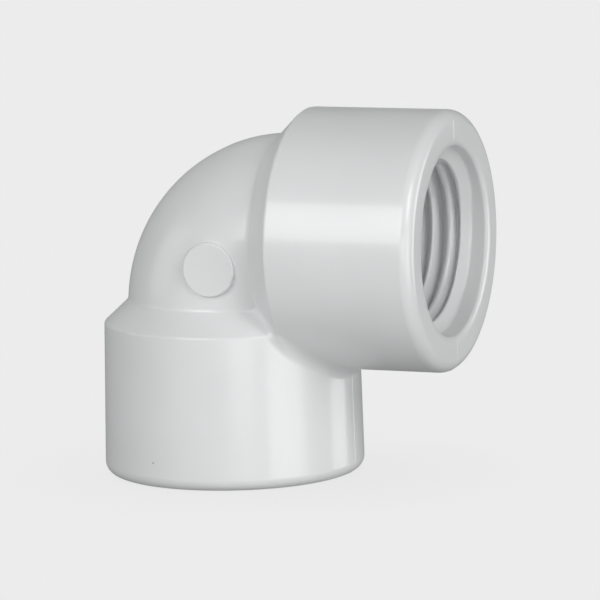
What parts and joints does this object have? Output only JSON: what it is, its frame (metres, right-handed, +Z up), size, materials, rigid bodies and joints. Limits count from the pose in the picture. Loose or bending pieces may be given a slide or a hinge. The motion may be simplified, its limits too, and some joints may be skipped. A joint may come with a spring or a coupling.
{
  "type": "pvc elbow fitting",
  "caption": "Right-angle elbow for water pipe in glossy white PVC: a round bend between shouldered female sockets with tapered pipe threads, which turns a pipe run through 90 degrees.",
  "frame": {"origin": "middle of the part in plan, on the plane of the lower mouth, so the part stands on its lower rim", "axes": "+Z up along the lower socket's axis, +X out of the front mouth, Y across the bend"},
  "size_m": [0.0422, 0.0298, 0.0419],
  "materials": {
    "white_pvc": "glossy injection-moulded rigid PVC, neutral white"
  },
  "bodies": {
    "root": {"bend": "white_pvc", "front_socket": "white_pvc", "lower_socket": "white_pvc"}
  },
  "joints": []
}
